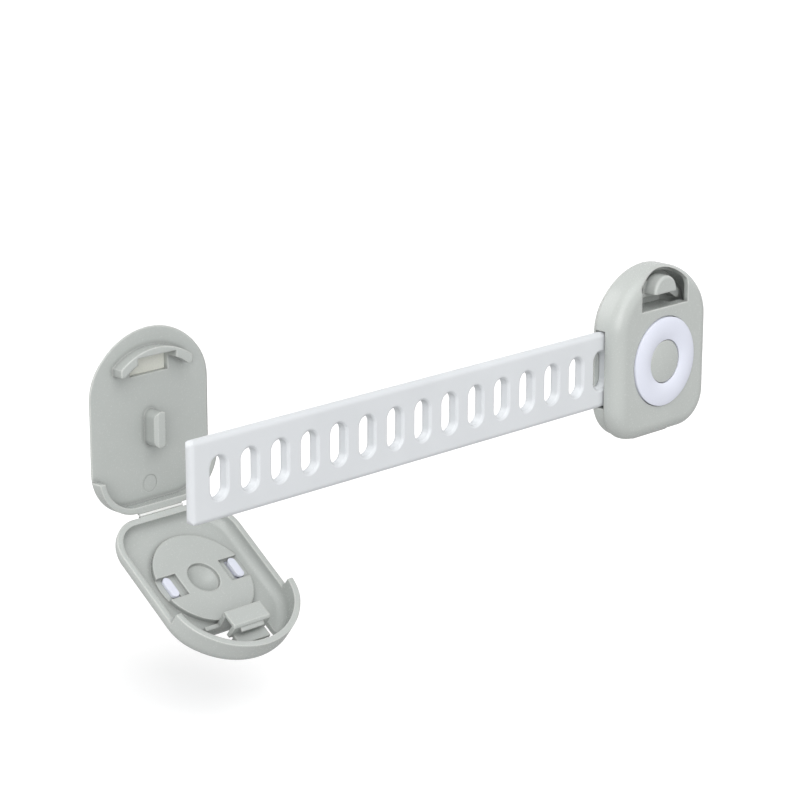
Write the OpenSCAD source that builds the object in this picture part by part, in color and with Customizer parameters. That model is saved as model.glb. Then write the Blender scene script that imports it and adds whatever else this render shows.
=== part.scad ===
// Cabinet safety lock: two hinged lock units and one slotted strap.
// Millimetres. X runs along the strap, Y points into the furniture, Z is up.
// Origin: on the stick-on face of the right lock unit, level with the strap.

/* [Strap] */
// Strap width
strap_w = 21; // [19:0.5:23]
// Strap thickness
strap_t = 2.8; // [2.2:0.1:3.2]
// Distance between neighbouring slots
slot_pitch = 9.8; // [9:0.1:11]
// Number of slots
slot_count = 17; // [15:1:21]
// Slot width along the strap
slot_w = 5.2; // [4.8:0.1:5.6]
// Slot height across the strap
slot_h = 10.6; // [10.2:0.1:11.4]
// Strap left over beyond the last slot
strap_tail = 8.7; // [6.2:0.5:9.2]
// Slot of the left lock, counted back from the right lock
left_slot = 14; // [9:1:14]

/* [Lock body] */
// Lock width
lock_w = 39; // [37:0.5:42]
// Height of the lock above the strap
head_h = 15.6; // [14:0.2:18]
// Depth from base plate to front face
front_d = 8.3; // [8:0.1:9.5]
// Half distance between the centres of the two shoulders
crown_step = 6; // [5:0.5:7]
// Radius of the lower corners
foot_r = 10; // [8.5:0.5:11]
// Rounding of the front edge
edge_r = 4; // [3:0.25:4.5]
// Wall thickness of the cover
wall = 1.6; // [1.4:0.1:1.9]
// Thickness of the cover face
face_t = 1.5; // [1.3:0.1:1.7]
// Thickness of the base plate
base_t = 1.5; // [1.2:0.1:2.2]
// Rounding of the base plate's back edge
back_r = 2.2; // [1.6:0.1:2.6]
// Height of the sill below the strap
sill_h = 10; // [9:0.25:11]

/* [Front ring] */
// Outer diameter of the ring
ring_od = 24.8; // [22:0.2:26]
// Inner diameter of the ring
ring_id = 12.2; // [11:0.2:13]
// How far the ring stands proud of the face
ring_proud = 1; // [0.5:0.1:1.4]

/* [Latch] */
// Half width of the latch clip
clip_hw = 6; // [5:0.25:6.5]
// Half width of the finger opening
window_hw = 9.75; // [8.5:0.25:10]
// Half width of the finger tab
tab_hw = 4.6; // [4:0.1:5]
// Distance from the top of the lock to the finger opening's lower edge
window_h = 11.2; // [10.8:0.1:11.4]
// Height of the finger opening's straight sides
window_side = 6.3; // [5:0.1:7]
// How far the barb reaches under the catch
barb_hold = 0.5; // [0.3:0.1:0.7]

/* [Mounting] */
// Thickness of the stick-on foam pad
pad_t = 0.8; // [0.5:0.1:1.5]
// Distance from the plate edge to the pad
pad_inset = 3; // [2:0.25:5]

/* [Photographed pose] */
// Opening angle of the left cover
left_open = 126; // [100:1:150]
// Sideways distance of the left lock from its slot
left_shift = 3; // [0:0.5:6]
// How far the left lock hangs below the strap's level
left_drop = 3; // [0:0.5:4]
// Room between the swinging left cover and the strap
swing_gap = 0.4; // [0.3:0.1:3]

/* [Hidden] */
$fn = 96;

hw = lock_w / 2;
strap_gap = 0.1;
side_gap = 0.3;
// height of the strap centre above the foot of the lock
strap_z = sill_h + side_gap + strap_w / 2;
pass_top = strap_z + strap_w / 2 + side_gap;
lock_h = pass_top + head_h;
// parting line between sill and cover, and the fold between them
low_n = strap_gap + strap_t + 0.7;
sill_n = low_n - 0.2;
fold_n = low_n - 0.1;
fold_z = -0.6;
fold_r = 0.35;
fold_gap = 0.05;
fold_t = 0.6;
base_foot_r = foot_r + 2;
fold_hw = hw - base_foot_r - 0.4;

// the top is a basket arch: two shoulders and one crown arc,
// whose centres make a 3-4-5 triangle
shoulder_r = hw - crown_step;
crown_wedge = [[0, 0], [60, 45], [60, 90], [-60, 90], [-60, 45]];
shoulder_wedge = [[0, 0], [60, 0], [60, 45]];
arch_z = lock_h - hw + crown_step / 2;
crown_z = arch_z - 0.75 * crown_step;
crown_r = shoulder_r + 1.25 * crown_step;

peg_x = 0;
peg_w = slot_w - 1.4;
// the strap is pulled back against the right lock's peg
strap_slip = 0.1 - (slot_w - peg_w) / 2;
peg_l = slot_h - 1;
peg_n = strap_gap + strap_t + 1.7;

cover_n = 0.1;
face_n = front_d - face_t;
ring_r = ring_od / 2;
ring_fit = 0.2;
ring_band = ring_r - ring_id / 2;
ring_back = face_n + 0.05;
ring_front = front_d + ring_proud;
ring_crown = 0.5;
ring_arc = (pow(ring_band / 2, 2) + pow(ring_crown, 2)) / (2 * ring_crown);
boss_r = ring_id / 2 - ring_fit;
boss_n = front_d + 0.3;
disc_r = ring_r + ring_fit + 1.2;
disc_n = face_n - 1.4;
dome_h = 0.6;
dome_r = (pow(boss_r, 2) + pow(dome_h, 2)) / (2 * dome_h);
dish_r = 4.5;
tab_w = 2.4;
tab_l = 6;
tab_x = ring_r - tab_w / 2 - 0.7;
notch_l = 6.8;
notch_n = disc_n + 0.9;
notch_x = boss_r + 1.3;
notch_w = disc_r + 0.5 - notch_x;

// catch on the base plate
catch_n = low_n - 0.1;
catch_lip = 1.1;
catch_r = 19;
catch_t = 2.4;
catch_a = 38;
catch_drop = 4.9;
catch_z = lock_h - catch_drop - catch_r;
lip_drop = 6.8;
lip_z = lock_h - lip_drop;
slot_top = lip_z + 0.8;
slot_bot = lip_z - 5.5;
under_hw = clip_hw + 0.3;

// latch clip on the cover
clip_t = 1.1;
window_z = lock_h - window_h;
clip_z = window_z - clip_t - 0.05;
lip_gap = 0.45;
leg_z = lip_z - lip_gap - clip_t;
ridge_n = 0.35;
ridge_t = 0.9;
barb_hw = 3.8;
barb_n = catch_n - catch_lip - 0.2;
flange_n = catch_n + 0.2;
flange_t = 0.9;
tab_flat = lock_h - 7.15;
tab_top = lock_h - 2.45;
tab_rise = tab_top - tab_flat;
tab_r = (pow(tab_hw, 2) + pow(tab_rise, 2)) / (2 * tab_rise);
window_arc = window_z + window_side;
window_top = lock_h - 0.5;
window_rise = window_top - window_arc;
window_r = (pow(window_hw, 2) + pow(window_rise, 2)) / (2 * window_rise);

// the left lock stands far enough back for its cover to swing below the strap
left_x = left_shift - left_slot * slot_pitch;
swing_r = sqrt(pow(lock_h - fold_z, 2) + pow(fold_n - cover_n, 2));
swing_n = fold_n + sqrt(pow(swing_r, 2) - pow(sill_h + side_gap + left_drop - fold_z, 2));
left_back = ceil(10 * (swing_n - strap_gap + swing_gap)) / 10;

// flat outline of a lock with lower corners of radius f, drawn inset by i
module outline(i, f) {
  translate([-(hw - i), f])
    square([2 * (hw - i), arch_z - f]);
  translate([-(hw - f), i])
    square([2 * (hw - f), f - i]);
  for (s = [-1, 1]) {
    translate([s * (hw - f), f])
      circle(f - i);
    translate([s * (hw - shoulder_r), arch_z])
      circle(shoulder_r - i);
  }
  intersection() {
    translate([0, crown_z])
      circle(crown_r - i);
    translate([0, crown_z])
      polygon(crown_wedge);
  }
}

// plate with the base's outline from depth n0 to n1 in front of the base face
module slab(i, n0, n1) {
  translate([0, -n0, 0])
    rotate([90, 0, 0])
      linear_extrude(n1 - n0)
        outline(i, base_foot_r);
}

// bar along X with a section given in depth and height
module bar(half, pts) {
  translate([-half, 0, 0])
    rotate([90, 0, 90])
      linear_extrude(2 * half)
        polygon([for (p = pts) [-p[0], p[1]]]);
}

// half of a rounded section: full depth inside, front corner rounded
module round_edge(r, n0, n1, rnd) {
  translate([0, n0])
    square([r, n1 - n0 - rnd]);
  translate([0, n0])
    square([r - rnd, n1 - n0]);
  // the rounding never reaches behind the back of the section
  intersection() {
    translate([r - rnd, n1 - rnd])
      circle(rnd);
    translate([r - 2 * rnd - 1, n0])
      square([2 * rnd + 2, n1 - n0 + 1]);
  }
}

// quarter of a rounded disc about a depth axis, from angle a
module quarter(x, z, r, a, n0, n1, rnd) {
  translate([x, 0, z])
    rotate([90, 0, 0])
      rotate([0, 0, a])
        rotate_extrude(angle = 90)
          round_edge(r, n0, n1, rnd);
}

// wedge cut from a rounded disc about a depth axis
module wedge(x, z, r, n0, n1, rnd, pts) {
  intersection() {
    translate([x, 0, z])
      rotate([90, 0, 0])
        rotate_extrude()
          round_edge(r, n0, n1, rnd);
    translate([x, 1 - n0, z])
      rotate([90, 0, 0])
        linear_extrude(n1 - n0 + 2)
          polygon(pts);
  }
}

// block with the lock's outline, lower corners f and a rounded front edge
module block(i, f, n0, n1, rnd) {
  translate([0, 0, f])
    linear_extrude(arch_z - f)
      for (s = [0, 1])
        mirror([s, 0])
          mirror([0, 1])
            round_edge(hw - i, n0, n1, rnd);
  translate([-(hw - f), 0, f])
    rotate([90, 0, 90])
      linear_extrude(2 * (hw - f))
        rotate([0, 0, -90])
          mirror([0, 1])
            round_edge(f - i, n0, n1, rnd);
  quarter(hw - f, f, f - i, -90, n0, n1, rnd);
  quarter(-(hw - f), f, f - i, 180, n0, n1, rnd);
  for (s = [-1, 1])
    wedge(s * crown_step, arch_z, shoulder_r - i, n0, n1, rnd, [for (p = shoulder_wedge) [s * p[0], p[1]]]);
  wedge(0, crown_z, crown_r - i, n0, n1, rnd, crown_wedge);
}

// thin lip that reaches down to the fold from depth n0 to n1
module fold_lip(n0, n1) {
  bar(fold_hw, [[n0, fold_z], [n1, fold_z], [n1, wall / 2], [n0, wall / 2]]);
}

// round bed of the fold
module fold_bed() {
  translate([-fold_hw - 0.2, -fold_n, fold_z])
    rotate([0, 90, 0])
      cylinder(r = fold_r + fold_gap, h = 2 * fold_hw + 0.4);
}

// round stud along the depth axis
module stud(x, z, r, n0, n1) {
  translate([x, -n0, z])
    rotate([90, 0, 0])
      cylinder(r = r, h = n1 - n0);
}

// upright long hole or peg with round ends
module long_hole(x, z, w, l, n0, n1) {
  stud(x, z + (l - w) / 2, w / 2, n0, n1);
  stud(x, z - (l - w) / 2, w / 2, n0, n1);
  translate([x - w / 2, -n1, z - (l - w) / 2])
    cube([w, n1 - n0, l - w]);
}

// sloping lead-in round the mouth of a long hole
module lead_in(x, z, w, l, n0, n1) {
  grow = abs(n1 - n0);
  for (s = [-1, 1])
    translate([x, -n0, z + s * (l - w) / 2])
      rotate([90, 0, 0])
        cylinder(r1 = w / 2, r2 = w / 2 + grow, h = n1 - n0);
  translate([x, 0, z - (l - w) / 2])
    linear_extrude(l - w)
      polygon([[-w / 2, -n0], [w / 2, -n0], [w / 2 + grow, -n1], [-w / 2 - grow, -n1]]);
}

module base_plate() {
  color([0.72, 0.74, 0.71])
  difference() {
    union() {
      // plate with its back edge rounded, and the sill that carries the strap
      difference() {
        mirror([0, 1, 0])
          block(0, base_foot_r, -sill_n, base_t, back_r);
        slab(wall, 0, sill_n + 1);
        translate([-hw - 1, -sill_n - 1, sill_h])
          cube([lock_w + 2, sill_n + 1, lock_h]);
      }
      fold_lip(sill_n - fold_t, sill_n);
      // peg that fills one slot
      difference() {
        long_hole(peg_x, strap_z, peg_w, peg_l, -0.5, peg_n);
        for (s = [-1, 1])
          translate([peg_x + s * peg_w / 2, -peg_n, strap_z - peg_l])
            rotate([0, 0, 45])
              translate([-0.5, -0.5, 0])
                cube([1, 1, 2 * peg_l]);
      }
      // arched catch
      intersection() {
        translate([0, 0.5, catch_z])
          rotate([90, 0, 0])
            linear_extrude(catch_n + 0.5)
              difference() {
                circle(catch_r);
                circle(catch_r - catch_t);
              }
        bar(catch_r, [
          [-1, catch_z + catch_r * cos(catch_a) - 2],
          [catch_n + 1, catch_z + catch_r * cos(catch_a) - 2],
          [catch_n + 1, catch_z + catch_r + 1],
          [-1, catch_z + catch_r + 1]
        ]);
        translate([-catch_r * sin(catch_a), -catch_n - 1, catch_z])
          cube([2 * catch_r * sin(catch_a), catch_n + 3, catch_r + 2]);
      }
    }
    // straight notch under the catch and opening through the plate
    translate([-under_hw, -catch_n - 1, slot_bot])
      cube([2 * under_hw, catch_n + base_t + 2, lip_z - slot_bot]);
    // room for the barb behind the lip
    translate([-barb_hw - 0.4, -(catch_n - catch_lip), lip_z - 1])
      cube([2 * barb_hw + 0.8, catch_n - catch_lip + base_t + 1, slot_top - lip_z + 1]);
    fold_bed();
    // round mould mark
    stud(-0.5, 5.9, 2.3, -0.12, 1);
  }
}

module living_hinge() {
  color([0.86, 0.87, 0.85])
  translate([-fold_hw, -fold_n, fold_z])
    rotate([0, 90, 0])
      cylinder(r = fold_r, h = 2 * fold_hw);
}

module window_cut() {
  translate([0, -flange_n - 0.6, 0])
    rotate([90, 0, 0])
      linear_extrude(front_d)
        intersection() {
          translate([-window_hw, window_z])
            square([2 * window_hw, lock_h]);
          union() {
            translate([-window_hw, window_z - 1])
              square([2 * window_hw, window_arc - window_z + 1]);
            translate([0, window_top - window_r])
              circle(window_r);
          }
        }
}

module cover_shell() {
  color([0.73, 0.75, 0.72])
  difference() {
    union() {
      difference() {
        union() {
          difference() {
            block(0, foot_r, cover_n, front_d, edge_r);
            block(wall, foot_r, -1, face_n, edge_r - wall);
          }
          // back of the ring seat
          stud(0, strap_z, disc_r, disc_n, front_d - 0.4);
        }
        // seat of the ring round the middle boss
        difference() {
          stud(0, strap_z, ring_r + ring_fit, face_n, front_d + 2);
          stud(0, strap_z, boss_r, face_n - 1, front_d + 3);
        }
        window_cut();
      }
      // domed middle boss
      intersection() {
        stud(0, strap_z, boss_r, face_n - 0.5, boss_n + 2);
        translate([0, dome_r - boss_n - dome_h, strap_z])
          sphere(dome_r);
      }
      fold_lip(low_n, low_n + fold_t);
      // floor of the finger opening
      bar(window_hw + 0.4, [
        [flange_n + flange_t + 0.4, clip_z],
        [face_n + 0.3, clip_z],
        [face_n + 0.3, clip_z + clip_t],
        [flange_n + flange_t + 0.4, clip_z + clip_t]
      ]);
      // standing leg that carries the latch clip
      translate([-clip_hw, -face_n - 0.3, clip_z])
        cube([2 * clip_hw, face_n + 0.3 - ridge_n - ridge_t - 0.05, clip_t]);
    }
    // hollow behind the dome
    stud(0, strap_z, dish_r, disc_n - 1, disc_n + 0.9);
    intersection() {
      translate([0, -(front_d - 0.4) + 6.2, strap_z])
        sphere(6.2);
      stud(0, strap_z, dish_r, disc_n, front_d);
    }
    // notches and holes for the ring's two tongues
    for (s = [-1, 1]) {
      translate([s * (notch_x + notch_w / 2) - notch_w / 2, -notch_n, strap_z - notch_l / 2])
        cube([notch_w, notch_n - disc_n + 1, notch_l]);
      translate([s * tab_x - tab_w / 2 - 0.1, -face_n - 0.5, strap_z - tab_l / 2 - 0.1])
        cube([tab_w + 0.2, face_n - disc_n + 1, tab_l + 0.2]);
    }
    // side openings that clear the strap, and the parting line
    translate([-hw - 1, -low_n, -1])
      cube([lock_w + 2, low_n + 1, pass_top + 1]);
    fold_bed();
  }
}

module latch_clip() {
  color([0.74, 0.76, 0.73])
  union() {
    // spring leg with its bend over the standing leg
    bar(clip_hw, [
      [ridge_n, clip_z],
      [ridge_n, leg_z + clip_t - 0.6],
      [ridge_n + 0.6, leg_z + clip_t],
      [flange_n + flange_t, leg_z + clip_t],
      [flange_n + flange_t, leg_z],
      [ridge_n + ridge_t, leg_z],
      [ridge_n + ridge_t, clip_z]
    ]);
    // barb with its ramp
    bar(barb_hw, [
      [ridge_n + 0.8, leg_z + clip_t - 0.2],
      [barb_n - 0.4, lip_z + barb_hold],
      [barb_n, lip_z + barb_hold],
      [barb_n, leg_z + clip_t - 0.2]
    ]);
    // flange up to the finger tab
    translate([-clip_hw + 1, -flange_n - flange_t, leg_z])
      cube([2 * clip_hw - 2, flange_t, tab_top - 1.5 - leg_z]);
    // half-round finger tab with a soft front edge
    wedge(0, tab_top - tab_r, tab_r, flange_n + flange_t / 2, front_d + 0.3, 0.8, [
      [-2 * tab_hw, tab_r - tab_rise],
      [2 * tab_hw, tab_r - tab_rise],
      [2 * tab_hw, 2 * tab_r],
      [-2 * tab_hw, 2 * tab_r]
    ]);
  }
}

module trim_ring() {
  color([0.90, 0.90, 0.94])
  union() {
    translate([0, 0, strap_z])
      rotate([90, 0, 0])
        rotate_extrude()
          translate([ring_id / 2, 0])
            intersection() {
              translate([0, ring_back])
                square([ring_band, ring_front - ring_back]);
              translate([ring_band / 2, ring_front - ring_arc])
                circle(ring_arc);
            }
    // two tongues with hooked ends
    for (s = [-1, 1]) {
      translate([s * tab_x - tab_w / 2 + 0.3, -face_n - 0.5, strap_z - tab_l / 2 + 1])
        cube([tab_w - 0.6, face_n + 0.2 - disc_n, tab_l - 2]);
      long_hole(s * (tab_x + 0.4), strap_z, tab_w, tab_l, disc_n, notch_n - 0.05);
    }
  }
}

module adhesive_pad() {
  color([0.55, 0.56, 0.55])
  slab(pad_inset, -base_t - pad_t, -base_t);
}

module at_right() {
  translate([0, -base_t - pad_t, -strap_z])
    children();
}

module at_left() {
  translate([left_x, left_back - base_t - pad_t, -strap_z - left_drop])
    children();
}

// turns a cover piece about the fold
module opened(a) {
  translate([0, -fold_n, fold_z])
    rotate([a, 0, 0])
      translate([0, fold_n, -fold_z])
        children();
}

module slotted_strap() {
  len = (slot_count - 1) * slot_pitch + 2 * strap_tail;
  n0 = strap_gap;
  n1 = strap_gap + strap_t;
  rnd = strap_t / 2 - 0.1;
  color([0.90, 0.91, 0.92])
  at_right()
  difference() {
    translate([strap_slip + strap_tail - len / 2, 0, strap_z])
      intersection() {
        // long edges rounded
        translate([-len / 2, -(n0 + n1) / 2, 0])
          rotate([90, 0, 90])
            linear_extrude(len)
              rounded([strap_t, strap_w], rnd);
        // end edges rounded
        translate([0, -(n0 + n1) / 2, -strap_w / 2])
          linear_extrude(strap_w)
            rounded([len, strap_t], rnd);
        // corners rounded
        rotate([90, 0, 0])
          linear_extrude(n1 + 1)
            rounded([len, strap_w], 2);
      }
    for (k = [0 : slot_count - 1]) {
      long_hole(strap_slip - k * slot_pitch, strap_z, slot_w, slot_h, n0 - 1, n1 + 1);
      lead_in(strap_slip - k * slot_pitch, strap_z, slot_w, slot_h, n1 - 0.5, n1 + 0.1);
    }
  }
}

// rectangle with rounded corners about the middle
module rounded(size, r) {
  square([size[0] - 2 * r, size[1]], center = true);
  square([size[0], size[1] - 2 * r], center = true);
  for (a = [-1, 1], b = [-1, 1])
    translate([a * (size[0] / 2 - r), b * (size[1] / 2 - r)])
      circle(r);
}

slotted_strap();
at_right() base_plate();  // right_base_plate
at_right() living_hinge();  // right_living_hinge
at_right() cover_shell();  // right_cover_shell
at_right() latch_clip();  // right_latch_clip
at_right() trim_ring();  // right_trim_ring
at_right() adhesive_pad();  // right_adhesive_pad
at_left() base_plate();  // left_base_plate
at_left() living_hinge();  // left_living_hinge
at_left() opened(left_open) cover_shell();  // left_cover_shell
at_left() opened(left_open) latch_clip();  // left_latch_clip
at_left() opened(left_open) trim_ring();  // left_trim_ring
at_left() adhesive_pad();  // left_adhesive_pad
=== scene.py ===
import math
import bpy
import bmesh
from mathutils import Matrix, Vector


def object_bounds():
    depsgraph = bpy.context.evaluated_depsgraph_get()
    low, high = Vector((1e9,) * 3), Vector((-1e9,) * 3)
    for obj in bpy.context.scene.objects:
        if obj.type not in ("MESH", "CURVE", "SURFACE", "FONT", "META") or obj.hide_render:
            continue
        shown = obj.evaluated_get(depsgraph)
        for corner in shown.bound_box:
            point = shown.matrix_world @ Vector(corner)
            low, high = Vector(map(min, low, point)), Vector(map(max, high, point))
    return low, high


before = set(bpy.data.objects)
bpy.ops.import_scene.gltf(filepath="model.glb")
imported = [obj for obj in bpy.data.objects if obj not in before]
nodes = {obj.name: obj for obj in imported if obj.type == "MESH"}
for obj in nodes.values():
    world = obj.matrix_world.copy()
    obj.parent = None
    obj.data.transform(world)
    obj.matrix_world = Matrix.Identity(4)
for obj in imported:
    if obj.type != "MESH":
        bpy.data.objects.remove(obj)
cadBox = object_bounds()
scene = bpy.context.scene

# camera, at the photograph's viewing angle
cameraPlace = {
    "lens": 122.38,
    "sensor": 36.0,
    "turn": 45.351,     # degrees to the right of looking along +Y
    "tilt": 15.626,     # degrees below the horizon
    "roll": -0.104,
    # the frame's origin seen from the lens: right, down, ahead
    "offset": (0.06455, -0.012658, 0.750447),
}


def addCamera(place):
    data = bpy.data.cameras.new("photoCamera")
    data.lens = place["lens"]
    data.sensor_width = place["sensor"]
    data.clip_start = 0.01
    data.clip_end = 20
    camera = bpy.data.objects.new("photoCamera", data)
    scene.collection.objects.link(camera)
    turn = Matrix.Rotation(math.radians(-place["turn"]), 3, "Z")
    tilt = Matrix.Rotation(math.radians(90 - place["tilt"]), 3, "X")
    roll = Matrix.Rotation(math.radians(-place["roll"]), 3, "Z")
    aim = turn @ tilt @ roll
    right, down, ahead = place["offset"]
    stand = -(aim @ Vector((right, -down, -ahead)))
    camera.matrix_world = Matrix.Translation(stand) @ aim.to_4x4()
    scene.camera = camera
    return camera


camera = addCamera(cameraPlace)
print("camera at", [round(x, 4) for x in camera.matrix_world.translation])


# small helpers for the material trees
def newGroup(name, inputs, outputs):
    group = bpy.data.node_groups.new(name, "ShaderNodeTree")
    for socketName, kind, value in inputs:
        socket = group.interface.new_socket(socketName, in_out="INPUT", socket_type=kind)
        socket.default_value = value
    for socketName, kind in outputs:
        group.interface.new_socket(socketName, in_out="OUTPUT", socket_type=kind)
    start = group.nodes.new("NodeGroupInput")
    end = group.nodes.new("NodeGroupOutput")
    return group, start, end


def addNode(tree, kind, settings=None, **values):
    node = tree.nodes.new(kind)
    for name, value in (settings or {}).items():
        setattr(node, name, value)
    for name, value in values.items():
        node.inputs[name].default_value = value
    return node


def addGroup(tree, group, **values):
    return addNode(tree, "ShaderNodeGroup", {"node_tree": group}, **values)


# a value is another node's output or a plain number or colour
def feed(tree, socket, value):
    if hasattr(value, "is_output"):
        tree.links.new(value, socket)
    else:
        socket.default_value = value


def addMath(tree, operation, a, b):
    node = addNode(tree, "ShaderNodeMath", {"operation": operation})
    feed(tree, node.inputs[0], a)
    feed(tree, node.inputs[1], b)
    return node.outputs[0]


def spread(tree, value, low, high, newLow, newHigh):
    node = addNode(tree, "ShaderNodeMapRange", {"clamp": True})
    tree.links.new(value, node.inputs["Value"])
    limits = {"From Min": low, "From Max": high, "To Min": newLow, "To Max": newHigh}
    for name, number in limits.items():
        node.inputs[name].default_value = number
    return node.outputs["Result"]


def mixColour(tree, factor, a, b, blend="MIX"):
    node = addNode(tree, "ShaderNodeMix", {"data_type": "RGBA", "blend_type": blend})
    # socket names repeat on the mix node, so its colour sockets go by number
    for index, value in ((0, factor), (6, a), (7, b)):
        feed(tree, node.inputs[index], value)
    return node.outputs[2]


def colour(red, green, blue):
    parts = [c / 255 for c in (red, green, blue)]
    return tuple(c / 12.92 if c <= 0.04045 else ((c + 0.055) / 1.055) ** 2.4 for c in parts) + (1.0,)


noiseSpan = (0.3, 0.7)     # where most of a noise texture's values lie
edgeSpan = (0.75, 0.998)   # how well rounded and true normal agree, on an edge and off it


# moulded skin: a fine grain for bump and gloss, and a slow drift of tone
def makeMouldedSkin():
    group, start, end = newGroup(
        "mouldedSkin",
        [("Grain Size", "NodeSocketFloat", 2600.0), ("Drift Size", "NodeSocketFloat", 45.0)],
        [("Grain", "NodeSocketFloat"), ("Drift", "NodeSocketFloat")],
    )
    place = addNode(group, "ShaderNodeTexCoord")
    grain = addNode(group, "ShaderNodeTexNoise", Detail=3.0, Roughness=0.55)
    drift = addNode(group, "ShaderNodeTexNoise", Detail=2.0, Roughness=0.5, Distortion=0.6)
    for texture in (grain, drift):
        group.links.new(place.outputs["Object"], texture.inputs["Vector"])
    group.links.new(start.outputs["Grain Size"], grain.inputs["Scale"])
    group.links.new(start.outputs["Drift Size"], drift.inputs["Scale"])
    group.links.new(grain.outputs[0], end.inputs["Grain"])
    group.links.new(spread(group, drift.outputs[0], *noiseSpan, 0.0, 1.0), end.inputs["Drift"])
    return group


# soft edge: the small radius that every moulded edge has, and a mask of where it lies
def makeSoftEdge():
    group, start, end = newGroup(
        "softEdge",
        [("Radius", "NodeSocketFloat", 0.0003)],
        [("Edge", "NodeSocketFloat"), ("Normal", "NodeSocketVector")],
    )
    bevel = addNode(group, "ShaderNodeBevel", {"samples": 6})
    group.links.new(start.outputs["Radius"], bevel.inputs["Radius"])
    flat = addNode(group, "ShaderNodeNewGeometry")
    dot = addNode(group, "ShaderNodeVectorMath", {"operation": "DOT_PRODUCT"})
    group.links.new(bevel.outputs["Normal"], dot.inputs[0])
    group.links.new(flat.outputs["Normal"], dot.inputs[1])
    group.links.new(spread(group, dot.outputs["Value"], *edgeSpan, 1.0, 0.0), end.inputs["Edge"])
    group.links.new(bevel.outputs["Normal"], end.inputs["Normal"])
    return group


# corner shade: painted shade that darkens a piece's own hollows and inside corners
def makeCornerShade():
    group, start, end = newGroup(
        "cornerShade",
        [("Reach", "NodeSocketFloat", 0.0014), ("Depth", "NodeSocketFloat", 0.5)],
        [("Keep", "NodeSocketFloat")],
    )
    hollow = addNode(group, "ShaderNodeAmbientOcclusion", {"samples": 12, "only_local": True})
    group.links.new(start.outputs["Reach"], hollow.inputs["Distance"])
    shut = addMath(group, "SUBTRACT", 1.0, hollow.outputs["AO"])
    loss = addMath(group, "MULTIPLY", shut, start.outputs["Depth"])
    group.links.new(addMath(group, "SUBTRACT", 1.0, loss), end.inputs["Keep"])
    return group


mouldedSkin = makeMouldedSkin()
softEdge = makeSoftEdge()
cornerShade = makeCornerShade()
print("groups made")


def newMaterial(name):
    material = bpy.data.materials.new(name)
    material.use_nodes = True
    tree = material.node_tree
    return material, tree, tree.nodes["Principled BSDF"]


# what all the plastics share
moulding = {
    "rub": 0.85,              # how pale the painted highlight on an edge gets
    "cornerReach": 0.0014,    # painted shade in inside corners
    "bowlReach": 0.022,       # painted shade in wide hollows, such as the open cover
    "grainDepth": 0.0002,
    "ior": 1.5,
    "coatRoughness": 0.15,
}
lockPlastic = {
    "tone": (183, 187, 184),
    "paleTone": (188, 192, 189),
    "rubTone": (228, 230, 226),
    "gloss": (0.25, 0.28),
    "grainBump": 0.004,
    "edgeRadius": 0.0008,
    "corners": 0.65,
    "bowls": 0.3,
    "coat": 0.0,
}
foldPlastic = dict(
    lockPlastic,
    tone=(232, 233, 230),
    paleTone=(238, 239, 237),
    rubTone=(240, 240, 240),
    gloss=(0.4, 0.5),
)
ringPlastic = {
    "tone": (221, 224, 237),
    "paleTone": (225, 228, 240),
    "rubTone": (236, 238, 246),
    "gloss": (0.20, 0.28),
    "grainBump": 0.02,
    "edgeRadius": 0.0003,
    "corners": 0.5,
    "bowls": 0.1,
    "coat": 0.2,
}
strapPlastic = {
    "tone": (214, 217, 220),
    "paleTone": (218, 221, 224),
    "rubTone": (244, 246, 250),
    "gloss": (0.36, 0.46),
    "grainBump": 0.03,
    "edgeRadius": 0.0007,
    "corners": 0.5,
    "bowls": 0.1,
    "coat": 0.0,
}


def makePlastic(name, finish):
    material, tree, shader = newMaterial(name)
    skin = addGroup(tree, mouldedSkin)
    edge = addGroup(tree, softEdge, Radius=finish["edgeRadius"])
    # painted shade: the corner and bowl shades darken the colour in a piece's own corners and hollows
    corner = addGroup(tree, cornerShade, Reach=moulding["cornerReach"], Depth=finish["corners"])
    bowl = addGroup(tree, cornerShade, Reach=moulding["bowlReach"], Depth=finish["bowls"])
    paintedShadeKeep = addMath(tree, "MULTIPLY", corner.outputs["Keep"], bowl.outputs["Keep"])
    body = mixColour(tree, skin.outputs["Drift"], colour(*finish["tone"]), colour(*finish["paleTone"]))
    # painted highlight: every edge is mixed towards a paler tone, as light would catch it
    rub = addMath(tree, "MULTIPLY", edge.outputs["Edge"], moulding["rub"])
    body = mixColour(tree, rub, body, colour(*finish["rubTone"]))
    tree.links.new(mixColour(tree, 1.0, body, paintedShadeKeep, "MULTIPLY"), shader.inputs["Base Color"])
    rough = spread(tree, skin.outputs["Grain"], *noiseSpan, *finish["gloss"])
    tree.links.new(rough, shader.inputs["Roughness"])
    bump = addNode(tree, "ShaderNodeBump", Strength=finish["grainBump"], Distance=moulding["grainDepth"])
    tree.links.new(skin.outputs["Grain"], bump.inputs["Height"])
    tree.links.new(edge.outputs["Normal"], bump.inputs["Normal"])
    tree.links.new(bump.outputs["Normal"], shader.inputs["Normal"])
    shader.inputs["IOR"].default_value = moulding["ior"]
    shader.inputs["Coat Weight"].default_value = finish["coat"]
    shader.inputs["Coat Roughness"].default_value = moulding["coatRoughness"]
    return material


foamPad = {
    "tone": (238, 239, 230),
    "cellTone": (228, 229, 220),
    "cells": 3200.0,
    "cellSpan": (0.1, 0.7),
    "cellBump": 0.2,
    "cellDepth": 0.0002,
    "roughness": (0.95, 0.8),
}


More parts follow.
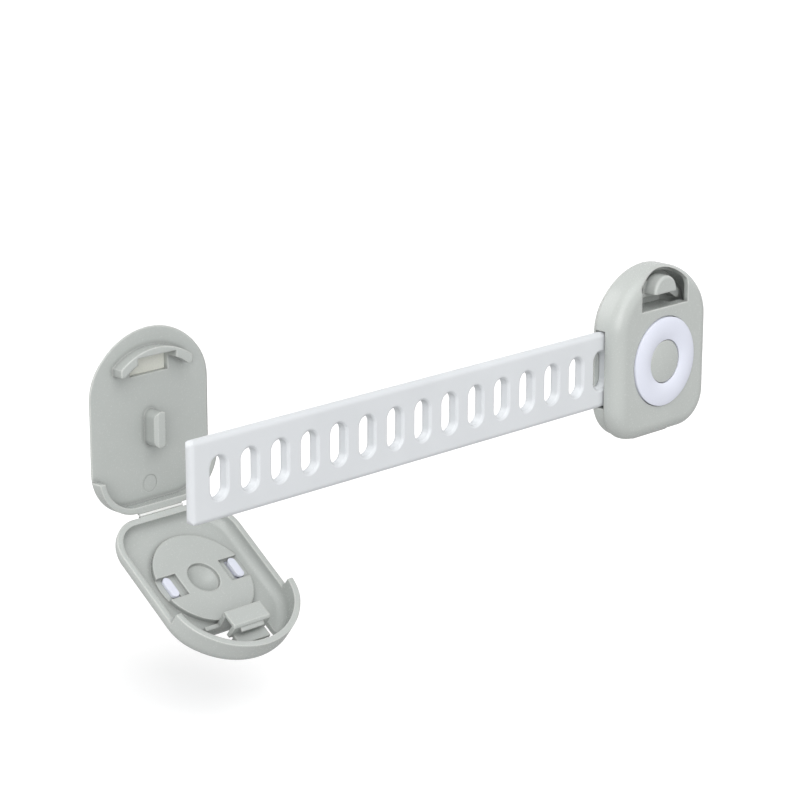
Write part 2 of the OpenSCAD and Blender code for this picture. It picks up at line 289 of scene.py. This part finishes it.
def makeFoam(finish):
    material, tree, shader = newMaterial("padFoam")
    place = addNode(tree, "ShaderNodeTexCoord")
    cells = addNode(tree, "ShaderNodeTexVoronoi", Scale=finish["cells"])
    tree.links.new(place.outputs["Object"], cells.inputs["Vector"])
    hollow = spread(tree, cells.outputs["Distance"], *finish["cellSpan"], 0.0, 1.0)
    body = mixColour(tree, hollow, colour(*finish["cellTone"]), colour(*finish["tone"]))
    tree.links.new(body, shader.inputs["Base Color"])
    tree.links.new(spread(tree, hollow, 0.0, 1.0, *finish["roughness"]), shader.inputs["Roughness"])
    bump = addNode(tree, "ShaderNodeBump", Strength=finish["cellBump"], Distance=finish["cellDepth"])
    tree.links.new(hollow, bump.inputs["Height"])
    tree.links.new(bump.outputs["Normal"], shader.inputs["Normal"])
    return material


finishes = {
    "lock": makePlastic("greyMoulding", lockPlastic),
    "fold": makePlastic("whitenedFold", foldPlastic),
    "ring": makePlastic("ringMoulding", ringPlastic),
    "strap": makePlastic("strapMoulding", strapPlastic),
    "foam": makeFoam(foamPad),
}
# finish and material slot of each piece
finishOf = {
    "slotted_strap": ("strap", "strap"),
    "base_plate": ("lock", "lock_plastic"),
    "living_hinge": ("fold", "lock_plastic"),
    "cover_shell": ("lock", "lock_plastic"),
    "latch_clip": ("lock", "lock_plastic"),
    "trim_ring": ("ring", "ring"),
    "adhesive_pad": ("foam", "foam"),
}
for name, node in nodes.items():
    finish, slot = finishOf[name.replace("right_", "").replace("left_", "")]
    node.data.materials.clear()
    node.data.materials.append(finishes[finish])
print("materials on", len(nodes), "nodes")

# floor, light and backdrop
studio = {
    "skyLight": 0.53,
    "floorSize": 8.0,
    "floorDrop": 0.0195,   # room for the covers to hang fully open
    "floorTone": 0.9,
    "floorBounce": 0.5,    # what the floor gives back to the object
    "floorLift": 0.2,
    "floorRoughness": 0.9,
    "floorSpecular": 0.1,
    "topLight": {"power": 1.1, "comesFrom": (-0.22, -0.50, 0.84), "spread": 50.0},
    "sideLight": {"power": 1.65, "comesFrom": (-0.70, -0.67, 0.24), "spread": 50.0},
    "backLight": {"power": 1.0, "comesFrom": (-0.40, 0.78, 0.48), "spread": 50.0},
}


def addFloor(settings):
    mesh = bpy.data.meshes.new("studioFloor")
    shape = bmesh.new()
    bmesh.ops.create_grid(shape, x_segments=1, y_segments=1, size=settings["floorSize"] / 2)
    bmesh.ops.translate(shape, verts=shape.verts, vec=(0, 0, cadBox[0].z - settings["floorDrop"]))
    shape.to_mesh(mesh)
    shape.free()
    floor = bpy.data.objects.new("studioFloor", mesh)
    scene.collection.objects.link(floor)
    material, tree, shader = newMaterial("floorPaper")
    shader.inputs["Roughness"].default_value = settings["floorRoughness"]
    shader.inputs["Specular IOR Level"].default_value = settings["floorSpecular"]
    shader.inputs["Emission Color"].default_value = (1, 1, 1, 1)
    path = addNode(tree, "ShaderNodeLightPath")
    seen = path.outputs["Is Camera Ray"]
    tone = spread(tree, seen, 0.0, 1.0, settings["floorBounce"], settings["floorTone"])
    tree.links.new(tone, shader.inputs["Base Color"])
    tree.links.new(addMath(tree, "MULTIPLY", seen, settings["floorLift"]), shader.inputs["Emission Strength"])
    mesh.materials.append(material)


def addSky(settings):
    world = bpy.data.worlds.new("studioSky")
    scene.world = world
    world.use_nodes = True
    tree = world.node_tree
    backdrop = tree.nodes["Background"]
    backdrop.inputs["Color"].default_value = (1, 1, 1, 1)
    path = addNode(tree, "ShaderNodeLightPath")
    seen = addMath(tree, "MAXIMUM", path.outputs["Is Camera Ray"], path.outputs["Is Glossy Ray"])
    seen = addMath(tree, "MAXIMUM", seen, path.outputs["Is Transmission Ray"])
    tree.links.new(spread(tree, seen, 0.0, 1.0, settings["skyLight"], 1.0), backdrop.inputs["Strength"])


def addLight(name, settings):
    data = bpy.data.lights.new(name, "SUN")
    data.angle = math.radians(settings["spread"])   # wide, so its shadows are soft
    data.energy = settings["power"]
    light = bpy.data.objects.new(name, data)
    scene.collection.objects.link(light)
    light.rotation_mode = "QUATERNION"
    light.rotation_quaternion = Vector(settings["comesFrom"]).to_track_quat("Z", "Y")


addFloor(studio)
addSky(studio)
for lightName in ("topLight", "sideLight", "backLight"):
    addLight(lightName, studio[lightName])
scene.view_settings.view_transform = "Standard"
print("studio set")
